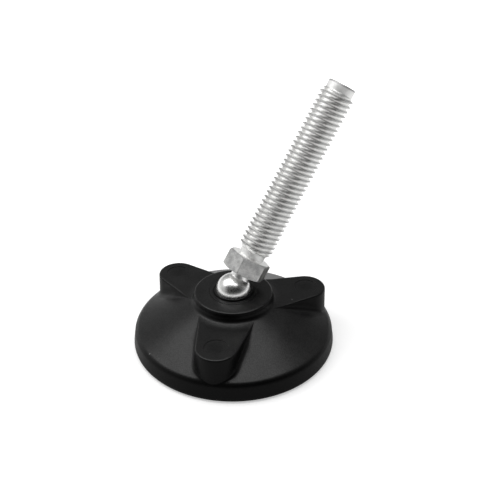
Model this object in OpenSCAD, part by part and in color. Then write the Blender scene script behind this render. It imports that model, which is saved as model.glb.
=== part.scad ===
// Levelling foot: a round moulded base with three floor-fixing lugs, a ball seat snapped
// into its collar, and a turned steel stud whose ball swivels in that seat.
// Millimetres. The origin is the centre of the floor face, +Z is up, and one lug lies along -Y.

/* [Base] */
// Diameter of the base at the corner where the rim meets the cone
base_d = 80.2; // [70:0.2:100]
// Height of that corner
rim_h = 8.05; // [7:0.05:10]
// How far the rim spreads outwards from that corner down to the floor
rim_flare = 1.2; // [0:0.1:1.6]
// Radius of the rounded shoulder above the rim
shoulder_r = 3.2; // [1:0.1:4]
// Radius of the bottom edge of the rim
foot_edge_r = 2; // [0.3:0.1:2.4]
// Height at which the cone runs into the collar
cone_top_h = 20; // [18.5:0.1:21]
// Fillet between the cone and the collar
collar_root_r = 2; // [1:0.1:4]

/* [Collar] */
// Diameter of the collar around the ball seat
collar_d = 31.6; // [29:0.1:34]
// Height of the collar's flat top above the floor
collar_h = 23.4; // [23:0.1:26]
// Radius of the collar's top edge
collar_edge_r = 0.5; // [0.4:0.1:1]

/* [Lugs] */
// Number of floor-fixing lugs
lug_count = 3; // [2:1:4]
// Height of the flat lug tops above the floor
lug_h = 18.8; // [17:0.1:19.5]
// Radius of the round lug end
lug_end_r = 8.1; // [7:0.1:9]
// Distance from the lug's outer end to the corner of the rim
lug_inset = 0.6; // [0.2:0.1:2]
// Half the width that the lug flanks would reach at the base's axis
lug_root_r = 13; // [11:0.1:14]
// Diameter of the floor-bolt hole cored into each lug from below
bolt_hole_d = 9; // [7:0.1:10]
// Thickness of the web left above that hole, to be drilled out for use
bolt_web = 1.6; // [1:0.1:3]
// Diameter of the round drilling mark on top of the web
mark_d = 9.6; // [8:0.1:11]
// Depth of the drilling mark
mark_depth = 0.25; // [0.2:0.05:0.6]
// Wall around the bolt hole
boss_wall = 3; // [2:0.1:4]

/* [Underside] */
// Width of the rim's floor face
rim_w = 4; // [3:0.1:6]
// Radius of the centre post
post_r = 6; // [4:0.1:7]
// Inner radius of the hub wall under the collar
hub_in_r = 13.5; // [12:0.1:14]
// Thickness of the hub wall
hub_w = 3.5; // [2:0.1:5]
// Width of the pocket between the hub wall and the ring rib
hub_gap = 8.5; // [6:0.1:9.5]
// Thickness of the ring rib
ring_w = 2.5; // [2:0.1:4]
// Wall left above the cored pockets
roof_wall = 3; // [2:0.1:4]
// Number of radial ribs
rib_count = 12; // [6:1:18]
// Thickness of each radial rib
rib_w = 2; // [1:0.1:3]

/* [Ball seat] */
// Outside diameter of the seat, the ring seen around the ball
seat_d = 19.2; // [18:0.1:21]
// How far the ring stands proud of the collar
seat_proud = 0.1; // [0:0.05:0.4]
// Thickness of the seat under the ball
seat_wall = 2.5; // [1.5:0.1:3]
// Height of the retaining lip above the ball's centre
lip_over = 0.3; // [0.2:0.1:1]
// Thickness of the retaining lip at its top
lip_wall = 0.7; // [0.5:0.1:1]
// Extra thickness of the lip at its foot
lip_flare = 0.5; // [0.2:0.1:0.8]
// Height of the snap bead that holds the seat in the base
bead_h = 2; // [1:0.1:2.5]
// How far the snap bead stands out
bead_out = 0.5; // [0.3:0.1:0.8]
// Height of the bead above the underside of the seat
bead_rise = 2.5; // [1.5:0.1:3.5]
// Running clearance between seat and base, and between ball and seat
run_clear = 0.05; // [0.02:0.01:0.1]

/* [Stud] */
// Diameter of the ball
ball_d = 14; // [13:0.1:14.5]
// Height of the ball's centre above the floor
ball_h = 23.9; // [23.5:0.1:25]
// Diameter of the neck between ball and hexagon
neck_d = 8; // [6:0.1:9]
// Distance from the ball's centre to the lower face of the hexagon
hex_start = 8; // [7.4:0.1:9]
// Height of the hexagon along the stud
hex_len = 7.3; // [5:0.1:9]
// Width of the hexagon across its flats
hex_af = 16; // [15.5:0.1:18]
// Slope of the chamfer on the hexagon's corners, in degrees
hex_chamfer = 30; // [15:1:40]
// Turn of the hexagon about the stud, in degrees
hex_turn = 33; // [0:1:60]
// Length of the relief between hexagon and thread
relief_len = 2.8; // [2:0.1:5]
// Diameter of that relief
relief_d = 10.4; // [9:0.1:11]
// Nominal diameter of the thread
thread_d = 14; // [13.5:0.1:14.5]
// Pitch of the thread
thread_pitch = 2; // [1.5:0.25:2.5]
// Number of thread ridges along the stud
thread_count = 35; // [20:1:50]
// Diameter of the plain point at the stud's end
point_d = 11.3; // [9:0.1:11.5]
// Length of the plain point
point_len = 3.2; // [2:0.1:6]
// Radius of the point's end edge
point_edge_r = 0.6; // [0.3:0.1:1]
// Lean of the stud from upright, in degrees
lean = 34; // [0:1:36]
// Direction of the lean around the base, in degrees from +X
lean_dir = 45; // [0:5:355]

/* [Hidden] */
$fn = 96;
// Overshoot of a cut past the face that it opens
cut = 1;
// Straight steps along a rounded edge of a turned profile
arc_steps = 6;

base_r = base_d / 2;
collar_r = collar_d / 2;
cone_slope = atan((cone_top_h - rim_h) / (base_r - collar_r));
// Ratio of a fillet's tangent length to its radius where the cone meets the upright collar
fillet_run = 1 / tan(45 + cone_slope / 2);
rim_lean = atan(rim_flare / rim_h);

// Step from a lug's flank out to its round end
flank_step = 0.05;
lug_end_x = base_r - lug_inset - lug_end_r;
lug_taper = asin((lug_root_r - lug_end_r) / lug_end_x);
bolt_top = lug_h - mark_depth - bolt_web;

seat_r = seat_d / 2;
ball_r = ball_d / 2;
socket_r = ball_r + run_clear;
seat_top = collar_h + seat_proud;
seat_bottom = ball_h - socket_r - seat_wall;
socket_floor = seat_bottom - run_clear;
lip_top = ball_h + lip_over;
lip_in_r = sqrt(pow(socket_r, 2) - pow(lip_over, 2));
lip_top_r = lip_in_r + lip_wall;

hex_end = hex_start + hex_len;
thread_start = hex_end + relief_len;
thread_end = thread_start + thread_count * thread_pitch;
thread_r = thread_d / 2;
// A metric thread's flank angle, and its depth as a share of the pitch
flank_angle = 30;
depth_share = 0.6134;
crest_w = thread_pitch / 8;
thread_depth = depth_share * thread_pitch;
flank_w = thread_depth * tan(flank_angle);
root_r = thread_r - thread_depth;
stud_end = thread_end + point_len;

// Points along a circular arc, for a turned profile
function arc(centre, radius, from, to) =
    [for (i = [0 : arc_steps])
        let (a = from + (to - from) * i / arc_steps)
        centre + radius * [cos(a), sin(a)]];

// Height of the cone at a radius
function cone_z(r) = rim_h + (base_r - r) * tan(cone_slope);

// Height of a pocket's flat roof, one wall under the cone at the pocket's outer radius
function roof_z(r) = cone_z(r) - roof_wall / cos(cone_slope);

// Centres of the rim's rounded foot and shoulder, each touching the flared rim
foot_centre = [
    base_r + rim_flare - foot_edge_r * (1 + sin(rim_lean)) / cos(rim_lean),
    foot_edge_r
];
shoulder_centre = [base_r, rim_h] - shoulder_r / cos(rim_lean + cone_slope)
    * [cos(cone_slope) - sin(rim_lean), cos(rim_lean) - sin(cone_slope)];

// Outside of the base, from the floor face up to the middle of the collar
base_profile = concat(
    [[0, 0]],
    arc(foot_centre, foot_edge_r, -90, rim_lean),
    arc(shoulder_centre, shoulder_r, rim_lean, 90 - cone_slope),
    arc([collar_r + collar_root_r, cone_top_h + collar_root_r * fillet_run], collar_root_r,
        270 - cone_slope, 180),
    arc([collar_r - collar_edge_r, collar_h - collar_edge_r], collar_edge_r, 0, 90),
    [[0, collar_h]]
);

// Cored pockets as inner radius, outer radius and roof height
hub_out_r = hub_in_r + hub_w;
ring_in_r = hub_out_r + hub_gap;
rim_in_r = base_r - rim_w;
pockets = [
    [post_r, hub_in_r, socket_floor - roof_wall],
    [hub_out_r, ring_in_r, roof_z(ring_in_r)],
    [ring_in_r + ring_w, rim_in_r, roof_z(rim_in_r)]
];

// Plan of one lug along +X: flanks that spread towards the axis and run into the round end just inside its
// widest points, so that the two cross instead of only touching
module lug_plan() {
    flank = [sin(lug_taper), cos(lug_taper)];
    root = (lug_root_r - flank_step) * flank;
    end = (lug_end_r - flank_step) * flank + [lug_end_x, 0];
    polygon([[root.x, -root.y], [end.x, -end.y], end, root]);
    translate([lug_end_x, 0]) circle(r = lug_end_r);
}

// Places its children once for each lug, the first along -Y
module at_lugs() {
    for (i = [0 : lug_count - 1])
        rotate([0, 0, i * 360 / lug_count - 90]) children();
}

// Ring-shaped pockets between the ribs, clear of the bolt bosses
module underside_pockets() {
    difference() {
        for (p = pockets)
            translate([0, 0, -cut]) difference() {
                cylinder(r = p[1], h = p[2] + cut);
                translate([0, 0, -cut]) cylinder(r = p[0], h = p[2] + 3 * cut);
            }
        for (i = [0 : rib_count - 1])
            rotate([0, 0, i * 360 / rib_count])
                translate([0, -rib_w / 2, -2 * cut]) cube([base_r, rib_w, collar_h]);
        at_lugs()
            translate([lug_end_x, 0, -2 * cut])
                cylinder(d = bolt_hole_d + 2 * boss_wall, h = collar_h);
    }
}

// Round recess that takes the seat, with the groove for its snap bead
module seat_recess() {
    recess_r = seat_r + run_clear;
    translate([0, 0, socket_floor]) cylinder(r = recess_r, h = collar_h - socket_floor + cut);
    rotate_extrude() polygon([
        [0, seat_bottom + bead_rise - bead_out - run_clear],
        [recess_r, seat_bottom + bead_rise - bead_out - run_clear],
        [recess_r + bead_out, seat_bottom + bead_rise - run_clear],
        [recess_r + bead_out, seat_bottom + bead_rise + bead_h + run_clear],
        [0, seat_bottom + bead_rise + bead_h + run_clear]
    ]);
}

// Black moulded plastic base: one piece with its collar, lugs and ribs
module base() {
    color([0.05, 0.05, 0.05]) difference() {
        union() {
            rotate_extrude() polygon(base_profile);
            at_lugs()
                translate([0, 0, foot_edge_r]) linear_extrude(height = lug_h - foot_edge_r) lug_plan();
        }
        seat_recess();
        underside_pockets();
        at_lugs() translate([lug_end_x, 0, 0]) {
            translate([0, 0, -cut]) cylinder(d = bolt_hole_d, h = bolt_top + cut);
            translate([0, 0, lug_h - mark_depth]) cylinder(d = mark_d, h = mark_depth + cut);
        }
    }
}

// Black plastic seat: a cup with a snap bead outside and a lip that closes just past the ball's middle
module ball_seat() {
    color([0.04, 0.04, 0.04]) difference() {
        rotate_extrude() polygon([
            [0, seat_bottom],
            [seat_r, seat_bottom],
            [seat_r, seat_bottom + bead_rise - bead_out],
            [seat_r + bead_out, seat_bottom + bead_rise],
            [seat_r + bead_out, seat_bottom + bead_rise + bead_h],
            [seat_r, seat_bottom + bead_rise + bead_h],
            [seat_r, seat_top],
            [lip_top_r + lip_flare, seat_top],
            [lip_top_r, lip_top],
            [0, lip_top]
        ]);
        translate([0, 0, ball_h]) sphere(r = socket_r);
    }
}

// Round stretches of the stud along +Z from the ball's centre: neck, relief, thread ridges and point
module stud_turning() {
    ridges = [for (i = [0 : thread_count - 1])
        let (z = thread_start + i * thread_pitch)
        each [
            [root_r, z],
            [thread_r, z + flank_w],
            [thread_r, z + flank_w + crest_w],
            [root_r, z + 2 * flank_w + crest_w]
        ]];
    rotate_extrude() polygon(concat(
        [[0, 0], [neck_d / 2, 0], [neck_d / 2, hex_start + cut], [relief_d / 2, hex_start + cut]],
        [[relief_d / 2, thread_start - cut]],
        ridges,
        [[root_r, thread_end], [point_d / 2, thread_end]],
        arc([point_d / 2 - point_edge_r, stud_end - point_edge_r], point_edge_r, 0, 90),
        [[0, stud_end]]
    ));
}

// Wrench hexagon with its corners turned off at both ends
module stud_hexagon() {
    sides = 6;
    corner_r = hex_af / 2 / cos(180 / sides);
    drop = (corner_r - hex_af / 2) * tan(hex_chamfer);
    intersection() {
        translate([0, 0, hex_start]) cylinder(r = corner_r, h = hex_len, $fn = sides);
        rotate_extrude() polygon([
            [0, hex_start],
            [hex_af / 2, hex_start],
            [corner_r, hex_start + drop],
            [corner_r, hex_end - drop],
            [hex_af / 2, hex_end],
            [0, hex_end]
        ]);
    }
}

// Zinc-plated steel stud, turned in one piece: ball, neck, hexagon, thread and point
module ball_stud() {
    color([0.75, 0.75, 0.74])
        translate([0, 0, ball_h])
            rotate([0, lean, lean_dir])
                rotate([0, 0, hex_turn]) {
                    sphere(r = ball_r);
                    stud_turning();
                    stud_hexagon();
                }
}

base();
ball_seat();
ball_stud();
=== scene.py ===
import math

import bmesh
import bpy
from mathutils import Matrix, Vector


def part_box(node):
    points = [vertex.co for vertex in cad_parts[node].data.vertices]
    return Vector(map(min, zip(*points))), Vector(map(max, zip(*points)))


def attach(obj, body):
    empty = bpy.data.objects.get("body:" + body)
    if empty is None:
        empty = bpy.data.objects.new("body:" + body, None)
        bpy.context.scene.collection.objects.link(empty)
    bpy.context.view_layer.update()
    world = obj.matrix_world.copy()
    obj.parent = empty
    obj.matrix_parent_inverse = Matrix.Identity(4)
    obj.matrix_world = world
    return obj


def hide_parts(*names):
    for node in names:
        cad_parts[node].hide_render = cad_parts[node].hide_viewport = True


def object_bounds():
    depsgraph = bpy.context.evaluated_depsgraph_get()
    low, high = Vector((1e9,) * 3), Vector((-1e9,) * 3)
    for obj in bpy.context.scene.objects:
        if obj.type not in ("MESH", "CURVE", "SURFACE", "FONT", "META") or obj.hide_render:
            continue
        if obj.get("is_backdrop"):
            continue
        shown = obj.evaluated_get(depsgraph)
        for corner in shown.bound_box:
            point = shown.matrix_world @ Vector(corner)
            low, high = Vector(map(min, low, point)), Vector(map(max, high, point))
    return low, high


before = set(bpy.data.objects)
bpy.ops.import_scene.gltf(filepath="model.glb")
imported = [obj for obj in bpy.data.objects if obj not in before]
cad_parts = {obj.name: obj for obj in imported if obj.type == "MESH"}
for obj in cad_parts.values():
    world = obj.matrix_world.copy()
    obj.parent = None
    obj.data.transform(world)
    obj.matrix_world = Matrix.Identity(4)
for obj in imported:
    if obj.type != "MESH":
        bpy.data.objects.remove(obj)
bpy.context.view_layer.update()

# Base: one moulding of black glass-filled nylon with a fine grain from the mould.
# Rim, cone, collar and the three fixing lugs are a single piece, cored and ribbed
# underneath; it stands on the floor on its rim.

MM = 0.001
base_r = 40.1
rim_flare = 1.145
rim_top = 8.05
shoulder_r = 3.2
cone_top = 20.0
collar_r = 15.8
collar_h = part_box("base")[1].z / MM
collar_root_r = 2.8
recess_r = 9.65
recess_floor = 14.3
foot_edge = 2.0
collar_edge = 0.9
recess_edge = 0.1
cone_fall = (cone_top - rim_top) / (base_r - collar_r)
cone_turn = math.atan(cone_fall)
rim_lean = math.atan(rim_flare / rim_top)


def turned(bm, corners, steps, rounds=6, stride=100):
    """Spins a half-section of (radius, height, rounding) corners into a closed turned body."""
    path = [bm.verts.new((r, 0, z)) for r, z, rounding in corners]
    for pair in zip(path, path[1:]):
        bm.edges.new(pair)
    for vert, (r, z, rounding) in zip(path, corners):
        if rounding:
            to, away = [(e.other_vert(vert).co - vert.co).normalized() for e in vert.link_edges]
            bmesh.ops.bevel(bm, geom=[vert], offset=rounding / math.tan(to.angle(away) / 2),
                            offset_type='OFFSET', segments=rounds, profile=0.5,
                            affect='VERTICES', material=-1)
    for edge in [e for e in bm.edges if abs(e.verts[0].co.z - e.verts[1].co.z) > stride / 4]:
        bmesh.ops.subdivide_edges(bm, edges=[edge], cuts=int(edge.calc_length() / stride))
    bmesh.ops.remove_doubles(bm, verts=bm.verts, dist=1e-4)
    bmesh.ops.spin(bm, geom=bm.verts[:] + bm.edges[:], cent=(0, 0, 0), axis=(0, 0, 1),
                   dvec=(0, 0, 0), angle=2 * math.pi, steps=steps, use_merge=True)
    bmesh.ops.remove_doubles(bm, verts=bm.verts, dist=1e-4)
    bmesh.ops.recalc_face_normals(bm, faces=bm.faces)


def shell(bm, name):
    """Turns a finished bmesh into an object of the scene."""
    mesh = bpy.data.meshes.new(name)
    bm.to_mesh(mesh)
    bm.free()
    piece = bpy.data.objects.new(name, mesh)
    bpy.context.scene.collection.objects.link(piece)
    return piece


def carve(piece, tool, operation):
    """Joins a tool to a piece, cuts it away or keeps what both share, and drops the tool."""
    change = piece.modifiers.new("carve", 'BOOLEAN')
    change.operation, change.solver, change.object = operation, 'EXACT', tool
    shaped = bpy.data.meshes.new_from_object(
        piece.evaluated_get(bpy.context.evaluated_depsgraph_get()))
    piece.modifiers.clear()
    plain, piece.data = piece.data, shaped
    bpy.data.meshes.remove(plain)
    bpy.data.objects.remove(tool)


def clear_scraps(bm):
    """Cuts a carved mesh into triangles and drops doubled faces, crumbs and loose corners."""
    crumb_faces = 20
    bmesh.ops.remove_doubles(bm, verts=bm.verts, dist=2e-3)
    bmesh.ops.dissolve_degenerate(bm, edges=bm.edges, dist=1e-3)
    bmesh.ops.triangulate(bm, faces=bm.faces)
    alike = {}
    for face in bm.faces:
        alike.setdefault(frozenset(face.verts), []).append(face)
    doubled = [f for same in alike.values() if len(same) > 1 for f in same]
    bmesh.ops.delete(bm, geom=doubled, context='FACES')
    crumbs, waiting = [], dict.fromkeys(bm.faces)
    while waiting:
        skin = [waiting.popitem()[0]]
        for face in skin:
            for near in [f for e in face.edges for f in e.link_faces]:
                if near in waiting:
                    skin.append(near)
                    del waiting[near]
        crumbs += skin if len(skin) < crumb_faces else []
    bmesh.ops.delete(bm, geom=crumbs, context='FACES')
    bmesh.ops.delete(bm, geom=[v for v in bm.verts if not v.link_faces], context='VERTS')


def finish_piece(piece, name, place, crease):
    """Puts a piece built in millimetres in its place in metres, smooth but for its creases."""
    bm = bmesh.new()
    bm.from_mesh(piece.data)
    clear_scraps(bm)
    bmesh.ops.transform(bm, matrix=Matrix.Scale(MM, 4) @ place, verts=bm.verts)
    bmesh.ops.recalc_face_normals(bm, faces=bm.faces)
    for face in bm.faces:
        face.smooth = True
    for edge in bm.edges:
        edge.smooth = edge.calc_face_angle(0) < crease
    bm.to_mesh(piece.data)
    bm.free()
    piece.name = piece.data.name = name


moulding = bmesh.new()
turned(moulding, [
    (0, 0, 0), (base_r + rim_flare, 0, foot_edge), (base_r, rim_top, shoulder_r),
    (collar_r, cone_top, collar_root_r),
    (collar_r, collar_h, collar_edge), (recess_r, collar_h, recess_edge),
    (recess_r, recess_floor, 0), (0, recess_floor, 0)], 288, rounds=10, stride=1.3)
base = shell(moulding, "base_moulding")

lug_h = 18.8
lug_x = 31.4
lug_r = 8.1
lug_root_r = 13.0
lug_edge = 0.8
lug_foot = 2.2
lug_draft = math.tan(math.radians(1.2))
lug_taper = math.asin((lug_root_r - lug_r) / lug_x)
lug_inner = 13.0
lug_slice = 0.6
root_inner = 16.1
sink_r = 17.4
sink_fall = 0.25


def cone_height(r):
    """Height of the turned surface at a radius, from the rim's shoulder to the collar's root."""
    bend = shoulder_r / math.cos(rim_lean + cone_turn)
    shoulder = base_r - bend * (math.cos(cone_turn) - math.sin(rim_lean))
    root = collar_r + collar_root_r
    if r > shoulder + shoulder_r * math.sin(cone_turn):
        rise = max(shoulder_r ** 2 - (r - shoulder) ** 2, 0)
        return rim_top - bend * (math.cos(rim_lean) - math.sin(cone_turn)) + math.sqrt(rise)
    if r < root - collar_root_r * math.sin(cone_turn):
        drop = collar_root_r ** 2 - (max(r, root_inner) - root) ** 2
        return cone_top + collar_root_r * math.tan(math.pi / 4 - cone_turn / 2) - math.sqrt(drop)
    return rim_top + (base_r - r) * cone_fall


def sunk(r):
    """How far a lug's inner end dips at a radius, so that it stays buried in the collar."""
    return sink_fall * max(sink_r - r, 0)


def lug_top(r):
    """Height of a lug's flat top, which runs up into the cone in a soft hollow."""
    cone = cone_height(r)
    near = max(1 - abs(cone - lug_h), 0)
    return max(cone, lug_h) + near * near / 4 - sunk(r)


def lug_section(spot, out):
    """Section of a lug's side wall at one spot of its outline, as (outward, height) pairs."""
    def surface(run):
        return cone_height((spot + out * run).length)

    def wall(height):
        return (lug_h - height) * lug_draft

    sink = sunk(spot.length)
    top = lug_top(spot.length)
    foot = lug_h
    for turn in range(8):
        foot = surface(wall(foot))
    tall = max(top - foot, 0.05)
    edge = min(lug_edge, 0.4 * tall)
    start = wall(foot)
    along = spot.dot(out)
    reach = along ** 2 + (base_r - 0.1) ** 2 - spot.length_squared
    room = math.sqrt(max(reach, 0)) - along - start
    soft = max(min(lug_foot, 0.6 * tall, 0.4 * room), 0.03)
    end = start + soft
    fall = (surface(end + 0.01) - surface(end - 0.01)) / 0.02
    height = surface(end) + 0.012 - sink
    meet = (lug_h - height + fall * end) / (fall + 1 / lug_draft)
    knee = Vector((meet, height + fall * (meet - end)))
    low = Vector((end, height))
    high = Vector((wall(knee.y + soft), knee.y + soft))
    brow = wall(top - edge)
    rows = [(brow - edge + edge * math.sin(a), top - edge + edge * math.cos(a))
            for a in [math.pi / 2 * k / 5 for k in range(6)]]
    rows += [tuple(Vector(rows[5]).lerp(high, k / 4)) for k in range(1, 4)]
    for k in range(7):
        u = k / 6
        rows.append(tuple(high * (1 - u) ** 2 + knee * 2 * u * (1 - u) + low * u ** 2))
    dive = end + max(min(0.5, room - soft + 0.05), 0.05)
    rows.append((dive, surface(dive) - 0.08 - sink))
    rows.append((dive, 4.0))
    return rows


def ends_of(edges):
    """The end points of some edges, each one once and in a fixed order."""
    return list(dict.fromkeys(v for e in edges for v in e.verts))


lugs = bmesh.new()
flank_y = (lug_root_r - lug_edge - lug_inner * math.sin(lug_taper)) / math.cos(lug_taper)
end_x = lug_x + (lug_r - lug_edge) * math.sin(lug_taper)
end_y = (lug_r - lug_edge) * math.cos(lug_taper)
near_a, far_a, far_b, near_b = [lugs.verts.new((x, y, 0)) for x, y in (
    (lug_inner, flank_y), (end_x, end_y), (end_x, -end_y), (lug_inner, -flank_y))]
for pair in ((near_a, far_a), (far_b, near_b), (near_b, near_a)):
    lugs.edges.new(pair)
bmesh.ops.spin(lugs, geom=[far_a], cent=(lug_x, 0, 0), axis=(0, 0, 1), dvec=(0, 0, 0),
               angle=2 * lug_taper - math.pi, steps=48)
bmesh.ops.remove_doubles(lugs, verts=lugs.verts, dist=1e-3)
bmesh.ops.contextual_create(lugs, geom=lugs.edges[:])
for step in range(1, 32):
    bmesh.ops.bisect_plane(lugs, geom=lugs.verts[:] + lugs.edges[:] + lugs.faces[:],
                           plane_co=(lug_inner + lug_slice * step, 0, 0), plane_no=(1, 0, 0))
for step in range(-10, 11):
    root = [f for f in lugs.faces if f.calc_center_median().x < 22]
    parts = dict.fromkeys([v for f in root for v in f.verts] + [e for f in root for e in f.edges])
    bmesh.ops.bisect_plane(lugs, geom=list(parts) + root, plane_co=(0, step, 0),
                           plane_no=(0, 1, 0))
spot_number = lugs.verts.layers.int.new("spot")
brink = [e for e in lugs.edges if e.is_boundary
         and max(v.co.x for v in e.verts) > lug_inner + 0.01]
sections = []
for vert in ends_of(brink):
    lean = math.atan2(vert.co.y, vert.co.x - lug_x)
    lean = max(min(lean, math.pi / 2 - lug_taper), lug_taper - math.pi / 2)
    out = Vector((math.cos(lean), math.sin(lean)))
    spot = vert.co.xy + out * lug_edge
    vert[spot_number] = len(sections)
    sections.append((spot, out, lug_section(spot, out)))
for vert in lugs.verts:
    vert.co.z = lug_top(vert.co.xy.length)
for row in range(len(sections[0][2])):
    grown = bmesh.ops.extrude_edge_only(lugs, edges=brink)["geom"]
    brink = [g for g in grown if isinstance(g, bmesh.types.BMEdge)]
    for vert in ends_of(brink):
        spot, out, rows = sections[vert[spot_number]]
        run, height = rows[row]
        vert.co = (spot + out * run).to_3d() + Vector((0, 0, height))
rim = [e for e in lugs.edges if e.is_boundary]
low = [e for e in rim if e in set(brink)]
ends = [v for e in low for v in e.verts if sum(v in o.verts for o in low) == 1]
sill = lugs.edges.new(ends)
bmesh.ops.contextual_create(lugs, geom=low + [sill])
bmesh.ops.contextual_create(lugs, geom=[e for e in rim if e not in low] + [sill])
bmesh.ops.recalc_face_normals(lugs, faces=lugs.faces)
bmesh.ops.rotate(lugs, cent=(0, 0, 0), verts=lugs.verts,
                 matrix=Matrix.Rotation(-math.pi / 2, 3, 'Z'))
bmesh.ops.spin(lugs, geom=lugs.verts[:] + lugs.edges[:] + lugs.faces[:], cent=(0, 0, 0),
               axis=(0, 0, 1), dvec=(0, 0, 0), angle=math.pi * 4 / 3, steps=2,
               use_duplicate=True)
carve(base, shell(lugs, "lugs"), 'UNION')


def at_lugs(bm, radius_low, radius_high, foot, height):
    """One round plug under or over each lug's end."""
    for number in range(3):
        way = Matrix.Rotation(math.radians(120 * number - 90), 4, 'Z')
        bmesh.ops.create_cone(bm, cap_ends=True, segments=72, radius1=radius_low,
                              radius2=radius_high, depth=height - foot,
                              matrix=way @ Matrix.Translation((lug_x, 0, (foot + height) / 2)))


mark_floor_r = 4.65
mark_brim_r = 4.95
mark_depth = 0.16
marks = bmesh.new()
at_lugs(marks, mark_floor_r, mark_brim_r, lug_h - mark_depth, lug_h + mark_depth)
carve(base, shell(marks, "lug_marks"), 'DIFFERENCE')

pocket_rings = ((6.0, 13.5, 11.3), (17.0, 25.5, 11.8), (28.0, 36.0, 6.7))
pocket_edge = 0.6
below = -1
rib_count = 12
rib_middle = (21.5, 0, 8)
rib_size = (33, 2, 24, 1)
boss_r = 7.5
hole_r = 4.5
hole_top = 16.95
coring = bmesh.new()
for inner, outer, roof in pocket_rings:
    ring = bmesh.new()
    turned(ring, [(inner, below, 0), (outer, below, 0), (outer, roof, pocket_edge),
                  (inner, roof, pocket_edge), (inner, below, 0)], 144, rounds=3)
    ring.to_mesh(bpy.data.meshes.new("ring"))
    hollow = bpy.data.meshes["ring"]
    coring.from_mesh(hollow)
    bpy.data.meshes.remove(hollow)
    ring.free()
pockets = shell(coring, "pockets")
ribs = bmesh.new()
for number in range(rib_count):
    way = Matrix.Rotation(math.radians(360 / rib_count * number), 4, 'Z')
    bmesh.ops.create_cube(ribs, size=1, matrix=way @ Matrix.Translation(rib_middle)
                          @ Matrix.Diagonal(rib_size))
carve(pockets, shell(ribs, "ribs"), 'DIFFERENCE')
bosses = bmesh.new()
at_lugs(bosses, boss_r, boss_r, -2, 22)
carve(pockets, shell(bosses, "bosses"), 'DIFFERENCE')
carve(base, pockets, 'DIFFERENCE')
holes = bmesh.new()
at_lugs(holes, hole_r, hole_r, below, hole_top)
carve(base, shell(holes, "bolt_holes"), 'DIFFERENCE')
moulded_crease = math.radians(38)
finish_piece(base, "base_moulding", Matrix.Identity(4), moulded_crease)


class Tone:
    """A value in a finish: arithmetic on it adds the Math nodes."""

    def __init__(self, finish, socket):
        self.finish, self.socket = finish, socket

    def math(self, operation, first, second):
        return self.finish.node("ShaderNodeMath", {"operation": operation},
                                {0: first, 1: second}, "Value")

    def __add__(self, other):
        return self.math('ADD', self, other)

    def __radd__(self, other):
        return self.math('ADD', other, self)

    def __sub__(self, other):
        return self.math('SUBTRACT', self, other)

    def __rsub__(self, other):
        return self.math('SUBTRACT', other, self)

    def __mul__(self, other):
        return self.math('MULTIPLY', self, other)

    def __rmul__(self, other):
        return self.math('MULTIPLY', other, self)

    def step(self, low, high):
        """0 below low, 1 above high, and a soft step between them."""
        return self.finish.node("ShaderNodeMapRange", {"interpolation_type": 'SMOOTHSTEP'},
                                {"Value": self, "From Min": low, "From Max": high}, "Result")


class Finish:
    """The nodes of a material or of the room's light, each added by one method."""

    def __init__(self, owner):
        owner.use_nodes = True
        self.owner, self.tree = owner, owner.node_tree
        self.tree.nodes.clear()

    def node(self, kind, settings, inputs, output=None):
        made = self.tree.nodes.new(kind)
        for name, value in settings.items():
            setattr(made, name, value)
        for name, value in inputs.items():
            if isinstance(value, Tone):
                self.tree.links.new(value.socket, made.inputs[name])
            else:
                made.inputs[name].default_value = value
        return Tone(self, made.outputs[output]) if output else made


def moulded_black(name, deep, dust_and_top_light_tone, sheen, grain_depth, specks, shaded_dishes):
    """Black nylon: mould grain, dull sides, and a sheen and a fine film on top that is dust and
    painted top light; painted shade turns film and sheen down in the dishes.
    """
    speck_grey = (0.09, 0.09, 0.09, 1)
    black = Finish(bpy.data.materials.new(name))
    place = black.node("ShaderNodeTexCoord", {}, {}, "Object")
    facing = black.node("ShaderNodeNewGeometry", {}, {}, "Normal")
    upward = black.node("ShaderNodeSeparateXYZ", {}, {0: facing}, "Z")
    grain = black.node("ShaderNodeTexNoise", {}, {"Vector": place, "Scale": 2600.0, "Detail": 2.0,
                                                  "Roughness": 0.6}, "Fac")
    cloud = black.node("ShaderNodeTexNoise", {}, {"Vector": place, "Scale": 90.0, "Detail": 4.0,
                                                  "Roughness": 0.55}, "Fac")
    # Painted shade: in the lugs' round dishes the top film and the sheen are turned down, which
    # darkens the dishes.
    dish_shade = 1.0
    for spot, size in shaded_dishes:
        away = black.node("ShaderNodeVectorMath", {"operation": 'DISTANCE'},
                          {0: place, 1: spot}, "Value")
        dish_shade = dish_shade * (0.62 + away.step(size * 0.2, size) * 0.38)
    # Dust and painted top light: a lighter film lies only on faces that look up, partly dust and
    # partly painted light from above.
    dust_and_top_light = upward.step(0.66, 0.88) * (cloud * 0.3 + grain * 0.7).step(0.35, 0.65) * dish_shade
    colour = black.node("ShaderNodeMix", {"data_type": 'RGBA'}, {0: dust_and_top_light, 6: deep, 7: dust_and_top_light_tone}, 2)
    for spot, size in specks:
        away = black.node("ShaderNodeVectorMath", {"operation": 'DISTANCE'},
                          {0: place, 1: spot}, "Value")
        colour = black.node("ShaderNodeMix", {"data_type": 'RGBA'}, {
            0: 1 - away.step(size * 0.5, size), 6: colour, 7: speck_grey}, 2)
    bump = black.node("ShaderNodeBump", {}, {"Strength": 0.5, "Distance": grain_depth,
                                             "Height": grain}, "Normal")
    gloss = upward.step(0.46, 0.84) * (sheen + (cloud - 0.5) * 0.2 + (grain - 0.5) * 0.4) * dish_shade
    surface = black.node("ShaderNodeBsdfPrincipled", {}, {
        "Base Color": colour, "Roughness": 0.42 + (cloud - 0.5) * 0.12 + (grain - 0.5) * 0.1,
        "Specular IOR Level": 0.1, "Coat Weight": gloss, "Coat Roughness": 0.3,
        "Normal": bump}, "BSDF")
    black.node("ShaderNodeOutputMaterial", {}, {"Surface": surface})
    return black.owner


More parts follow.
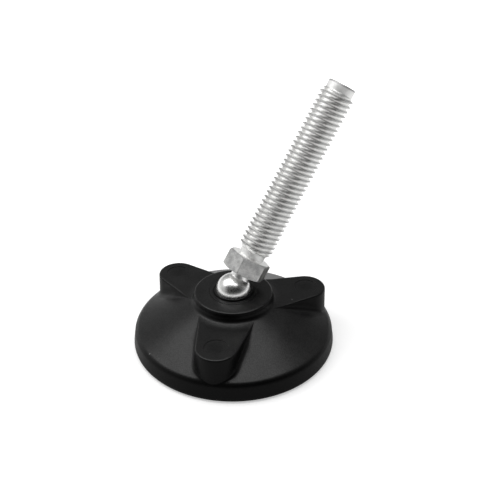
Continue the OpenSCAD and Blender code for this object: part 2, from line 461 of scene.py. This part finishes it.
nylon_black = (0.0006, 0.0006, 0.0006, 1)
# Tone of the base's top film, which is dust and painted top light.
base_dust_and_top_light = (0.0085, 0.0085, 0.0085, 1)
dust_specks = [((-0.0277, -0.0274, 0.0085), 0.0005), ((0.0232, 0.0050, 0.0188), 0.0004)]
dish_size = 0.0046
# Centres of the lugs' round dishes, where painted shade darkens the top.
mark_dish_shade = [((0, -0.0314, 0.0187), dish_size), ((0.0272, 0.0157, 0.0187), dish_size),
               ((-0.0272, 0.0157, 0.0187), dish_size)]
base.data.materials.clear()
base.data.materials.append(moulded_black(
    "black_nylon", nylon_black, base_dust_and_top_light, sheen=0.34, grain_depth=0.00003,
    specks=dust_specks, shaded_dishes=mark_dish_shade))
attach(base, "base")
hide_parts("base")

# Seat: a plain black plastic cup that snaps into the collar from above. Its thin lip closes
# just past the middle of the ball and stands a little above the collar's face.

ball_h = 23.9
ball_r = 7.0
seat_r = 9.6
ball_gap = 0.05
socket_r = ball_r + ball_gap
seat_top = collar_h + 0.1
lip_top = ball_h + 0.3
lip_w = 0.4
bead_out = 0.5
bead_low = 2
bead_high = 4.5
lip_r = math.sqrt(socket_r ** 2 - (lip_top - ball_h) ** 2)
seat_floor = 14.35
cup = bmesh.new()
bowl = [cup.verts.new((0, 0, ball_h - socket_r))]
bmesh.ops.spin(cup, geom=bowl, cent=(0, 0, ball_h), axis=(0, -1, 0), dvec=(0, 0, 0),
               angle=math.pi / 2 + math.asin((lip_top - ball_h) / socket_r), steps=40)
turned(cup, [
    (lip_r, lip_top, 0), (lip_r + lip_w, lip_top, 0.3), (lip_r + 0.8, seat_top - 0.4, 0.2),
    (lip_r + 1.2, seat_top, 0.2), (seat_r, seat_top, 0.1), (seat_r, seat_floor + bead_high, 0),
    (seat_r + bead_out, seat_floor + bead_high, 0.2), (seat_r + bead_out, seat_floor + 2.5, 0.3),
    (seat_r, seat_floor + bead_low, 0), (seat_r, seat_floor, 0.4), (0, seat_floor, 0)],
    192, rounds=4)
seat = shell(cup, "ball_seat_cup")
finish_piece(seat, "ball_seat_cup", Matrix.Identity(4), moulded_crease)
# Tone of the seat's top film, which is dust and painted top light.
seat_dust_and_top_light = (0.005, 0.005, 0.005, 1)
seat.data.materials.append(moulded_black(
    "seat_black", nylon_black, seat_dust_and_top_light, sheen=0.36, grain_depth=0.00002, specks=[], shaded_dishes=[]))
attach(seat, "seat")
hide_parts("ball_seat")

# Stud: one piece of steel turned from hexagon bar, with a polished ball, a waisted neck, a
# wrench hexagon and a rolled right-hand thread, then zinc plated. The ball snaps into the seat.

neck_r = 4.0
neck_root_r = 4.3
hex_low = 8.0
hex_high = 15.3
hex_flat = 8.0
hex_corner = hex_flat / math.cos(math.pi / 6)
hex_break = 0.12
relief_r = 5.2
thread_r = 6.99
pitch = 2.0
thread_low = 17.9
thread_high = 86.8
point_r = 5.64
point_end = 91.3
point_edge = 0.6
shank_low = 12.0
stud_middle = 50
run_slope = 1.4
run_out = 1.1
groove_depth = 0.6134 * pitch
more_turns = 35

turning = bmesh.new()
pole = [turning.verts.new((0, 0, -ball_r))]
bmesh.ops.spin(turning, geom=pole, cent=(0, 0, 0), axis=(0, -1, 0), dvec=(0, 0, 0),
               angle=math.pi / 2 + math.acos(neck_root_r / ball_r), steps=56)
waist = math.sqrt(ball_r ** 2 - neck_root_r ** 2)
turned(turning, [
    (neck_root_r, waist, 0), (neck_r, waist + 0.25, 0.5), (neck_r, hex_low - 0.3, 0),
    (neck_r + 0.5, hex_low + 0.2, 0), (neck_r + 0.5, hex_low + 2, 0), (0, hex_low + 2, 0)], 128)
stud = shell(turning, "ball_stud_steel")

hexagon = bmesh.new()
bmesh.ops.create_cone(hexagon, cap_ends=True, segments=6, radius1=hex_corner,
                      radius2=hex_corner, depth=hex_high - hex_low,
                      matrix=Matrix.Translation((0, 0, (hex_low + hex_high) / 2))
                      @ Matrix.Rotation(math.pi / 6, 4, 'Z'))
upright = [e for e in hexagon.edges if abs(e.verts[0].co.z - e.verts[1].co.z) > 1]
bmesh.ops.bevel(hexagon, geom=upright, offset=hex_break, offset_type='OFFSET', segments=2,
                profile=0.5, affect='EDGES', material=-1)
nut = shell(hexagon, "hexagon")
chamfer = bmesh.new()
corner_r = hex_corner + 0.5
drop = (corner_r - hex_flat) * math.tan(math.radians(30))
turned(chamfer, [
    (0, hex_low, 0), (hex_flat - 0.2, hex_low, 0.2), (corner_r, hex_low + drop, 0),
    (corner_r, hex_high - drop, 0), (hex_flat - 0.2, hex_high, 0.2), (0, hex_high, 0)],
    144, rounds=3)
carve(nut, shell(chamfer, "chamfer"), 'INTERSECT')
carve(stud, nut, 'UNION')


def blank(height):
    """Radius of the turned blank that the thread is rolled on."""
    rise = relief_r + max(height - thread_low, 0) * run_slope
    tip = point_r + max(thread_high + run_out - height, 0) * run_slope
    return min(rise, tip, thread_r)


thread = bmesh.new()
turn_steps = 72
groove_r = thread_r - groove_depth
helix_low = 15.9
ridge = [(groove_r, 0), (groove_r, 0.17), (groove_r + 0.12, 0.36), (thread_r - 0.5, 0.73),
         (thread_r - 0.1, 0.98), (thread_r, 1.08), (thread_r, 1.25), (thread_r - 0.1, 1.35),
         (thread_r - 0.5, 1.6), (groove_r + 0.12, 1.97), (groove_r, pitch)]
path = [thread.verts.new((r, 0, helix_low + z)) for r, z in ridge]
for pair in zip(path, path[1:]):
    thread.edges.new(pair)
bmesh.ops.spin(thread, geom=thread.verts[:] + thread.edges[:], cent=(0, 0, 0), axis=(0, 0, 1),
               dvec=(0, 0, pitch / turn_steps), angle=2 * math.pi, steps=turn_steps)
bmesh.ops.spin(thread, geom=thread.verts[:] + thread.edges[:] + thread.faces[:], cent=(0, 0, 0),
               axis=(0, 0, 1), dvec=(0, 0, pitch), angle=0, steps=more_turns, use_duplicate=True)
bmesh.ops.remove_doubles(thread, verts=thread.verts, dist=1e-3)
for vert in thread.verts:
    around = vert.co.xy
    vert.co.xy = around * min(1, blank(vert.co.z) / around.length)
brink = [e for e in thread.edges if e.is_boundary]
grown = bmesh.ops.extrude_edge_only(thread, edges=brink)["geom"]
for vert in [g for g in grown if isinstance(g, bmesh.types.BMVert)]:
    vert.co.z = shank_low if vert.co.z < stud_middle else point_end - point_edge
bmesh.ops.remove_doubles(thread, verts=thread.verts, dist=1e-3)
bmesh.ops.delete(thread, geom=[f for f in thread.faces if f.calc_area() < 1e-4], context='FACES')
for upper in (False, True):
    seam = [e for e in thread.edges
            if e.is_boundary and (e.verts[0].co.z > stud_middle) == upper
            and abs(e.verts[0].co.z - e.verts[1].co.z) > 1e-3]
    side = max(seam, key=lambda e: e.calc_length())
    heights = sorted({v.co.z for e in seam if e != side for v in e.verts})[1:-1]
    split = bmesh.ops.bisect_edges(thread, edges=[side], cuts=len(heights))["geom_split"]
    fresh = sorted([g for g in split if isinstance(g, bmesh.types.BMVert)], key=lambda v: v.co.z)
    for vert, height in zip(fresh, heights):
        vert.co.z = height
bmesh.ops.remove_doubles(thread, verts=thread.verts, dist=1e-3)
bmesh.ops.contextual_create(thread, geom=[
    e for e in thread.edges if e.is_boundary and e.verts[0].co.z < stud_middle])
ring = [e for e in thread.edges if e.is_boundary]
for k in range(1, 6):
    a = math.pi / 2 * k / 5
    grown = bmesh.ops.extrude_edge_only(thread, edges=ring)["geom"]
    ring = [g for g in grown if isinstance(g, bmesh.types.BMEdge)]
    for vert in ends_of(ring):
        around = vert.co.xy.normalized() * (point_r - point_edge + point_edge * math.cos(a))
        vert.co = (around.x, around.y, point_end - point_edge + point_edge * math.sin(a))
bmesh.ops.contextual_create(thread, geom=ring)
bmesh.ops.recalc_face_normals(thread, faces=thread.faces)
carve(stud, shell(thread, "thread"), 'UNION')
lean_bearing = math.radians(45)
stud_lean = math.radians(34)
hex_roll = math.radians(33)
stud_crease = math.radians(30)
stud_way = (Matrix.Translation((0, 0, ball_h)) @ Matrix.Rotation(lean_bearing, 4, 'Z')
            @ Matrix.Rotation(stud_lean, 4, 'Y') @ Matrix.Rotation(hex_roll, 4, 'Z'))
finish_piece(stud, "ball_stud_steel", stud_way, stud_crease)

zinc = Finish(bpy.data.materials.new("zinc_plate"))
place = zinc.node("ShaderNodeTexCoord", {}, {}, "Object")
centred = zinc.node("ShaderNodeVectorMath", {"operation": 'SUBTRACT'},
                    {0: place, 1: (0, 0, ball_h * MM)}, "Vector")
stud_axis = (stud_way.to_3x3() @ Vector((0, 0, 1)))[:]
along = zinc.node("ShaderNodeVectorMath", {"operation": 'DOT_PRODUCT'},
                  {0: centred, 1: stud_axis}, "Value")
ball_zone = 1 - along.step(0.0045, 0.0060)
outward = zinc.node("ShaderNodeVectorMath", {"operation": 'CROSS_PRODUCT'},
                    {0: centred, 1: stud_axis}, "Vector")
away = zinc.node("ShaderNodeVectorMath", {"operation": 'LENGTH'}, {0: outward}, "Value")
past_hexagon = along.step(0.0150, 0.0156)
point_zone = along.step(0.0875, 0.0885)
tip_zone = along.step(0.0903, 0.0909)
flats_zone = (along.step(0.0075, 0.0083) - past_hexagon) * away.step(0.0077, 0.0080)
turned_zone = past_hexagon - along.step(0.0180, 0.0190) + point_zone
crest_zone = along.step(0.0170, 0.0185) * away.step(0.0064, 0.0069)
cloud = zinc.node("ShaderNodeTexNoise", {}, {"Vector": place, "Scale": 320.0, "Detail": 5.0,
                                             "Roughness": 0.65}, "Fac")
fine = zinc.node("ShaderNodeTexNoise", {}, {"Vector": place, "Scale": 2400.0, "Detail": 3.0,
                                            "Roughness": 0.6}, "Fac")
mottle = (cloud * 0.7 + fine * 0.3).step(0.3, 0.7)
# Dark grey of the painted shade on the thread's crests and the point's rounded end.
painted_shade_grey = (0.2, 0.2, 0.2, 1)
bright = zinc.node("ShaderNodeMix", {"data_type": 'RGBA'}, {
    0: mottle, 6: (0.76, 0.76, 0.75, 1), 7: (0.90, 0.90, 0.89, 1)}, 2)
dull = zinc.node("ShaderNodeMix", {"data_type": 'RGBA'}, {
    0: mottle, 6: (0.30, 0.30, 0.30, 1), 7: (0.62, 0.62, 0.61, 1)}, 2)
colour = zinc.node("ShaderNodeMix", {"data_type": 'RGBA'}, {
    0: flats_zone + ball_zone * 0.35 + point_zone * 0.15, 6: bright, 7: dull}, 2)
# Painted shade: crests are greyed to draw the shadowed flank lines, and the point's rounded end
# to stand for its dark reflection.
colour = zinc.node("ShaderNodeMix", {"data_type": 'RGBA'}, {
    0: crest_zone * 0.57 + tip_zone * 0.6, 6: colour, 7: painted_shade_grey}, 2)
roughness = (0.37 - ball_zone * 0.09 + flats_zone * 0.08 + turned_zone * 0.2
             + (cloud - 0.5) * 0.10 + (fine - 0.5) * 0.06)
bump = zinc.node("ShaderNodeBump", {}, {"Strength": 0.25, "Distance": 0.00002,
                                        "Height": fine * (1 - ball_zone * 0.9)}, "Normal")
surface = zinc.node("ShaderNodeBsdfPrincipled", {}, {
    "Base Color": colour, "Metallic": 1.0, "Roughness": roughness, "Normal": bump}, "BSDF")
zinc.node("ShaderNodeOutputMaterial", {}, {"Surface": surface})
stud.data.materials.clear()
stud.data.materials.append(zinc.owner)
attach(stud, "stud")
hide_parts("ball_stud")

# Studio: a wide white floor that keeps the foot's shadow, a large soft box overhead on the left,
# and a room that is pale on the left and behind and dark in front.

table = bmesh.new()
bmesh.ops.create_circle(table, cap_ends=True, segments=96, radius=20.0)
floor = shell(table, "floor")
white = Finish(bpy.data.materials.new("white_floor"))
light = white.node("ShaderNodeLightPath", {}, {})
looked_at = Tone(white, light.outputs["Is Camera Ray"])
mirrored = (Tone(white, light.outputs["Is Glossy Ray"])
            + Tone(white, light.outputs["Is Transmission Ray"]))
place = white.node("ShaderNodeTexCoord", {}, {}, "Object")
reach = white.node("ShaderNodeVectorMath", {"operation": 'LENGTH'}, {0: place}, "Value")
far = reach.step(0.04, 0.14)
paper = white.node("ShaderNodeBsdfDiffuse", {}, {"Color": (0.64, 0.64, 0.64, 1)}, "BSDF")
glow = white.node("ShaderNodeEmission", {}, {
    "Color": (1, 1, 1, 1),
    "Strength": looked_at * (0.48 + far * 0.62) + mirrored * (0.1 + far * 0.6)}, "Emission")
both = white.node("ShaderNodeAddShader", {}, {0: paper, 1: glow}, "Shader")
white.node("ShaderNodeOutputMaterial", {}, {"Surface": both})
floor.data.materials.append(white.owner)
floor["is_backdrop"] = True

scene = bpy.context.scene
scene.world = bpy.data.worlds.new("pale_room")
room = Finish(scene.world)
way = room.node("ShaderNodeTexCoord", {}, {}, "Generated")
ahead = room.node("ShaderNodeVectorMath", {"operation": 'DOT_PRODUCT'},
                  {0: way, 1: (0.08, -0.997, 0.0)}, "Value")
aside = room.node("ShaderNodeVectorMath", {"operation": 'DOT_PRODUCT'},
                  {0: way, 1: (-0.995, -0.1, 0.0)}, "Value")
walls = 0.32 - ahead.step(-0.15, 0.5) * 0.31 + aside.step(0.4, 0.9) * 0.45
looked_at = room.node("ShaderNodeLightPath", {}, {}, "Is Camera Ray")
sky = room.node("ShaderNodeBackground", {}, {
    "Color": (1, 1, 1, 1), "Strength": walls * (1 - looked_at) + looked_at}, "Background")
room.node("ShaderNodeOutputWorld", {}, {"Surface": sky})

lamp = bpy.data.lights.new("soft_box", 'AREA')
lamp.shape, lamp.size, lamp.size_y, lamp.energy = 'RECTANGLE', 1.6, 0.7, 10.0
box = bpy.data.objects.new("soft_box", lamp)
box.location = (-0.35, -0.02, 0.85)
scene.collection.objects.link(box)

lens = bpy.data.cameras.new("camera")
lens.lens, lens.sensor_width = 62.56, 36.0
lens.clip_start, lens.clip_end = 0.01, 100.0
camera = bpy.data.objects.new("camera", lens)
camera.location = (0.06133, -0.28199, 0.2208)
camera.rotation_euler = (math.radians(58.31), 0, math.radians(10.94))
scene.collection.objects.link(camera)
scene.camera = camera
scene.view_settings.view_transform = 'Standard'

low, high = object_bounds()
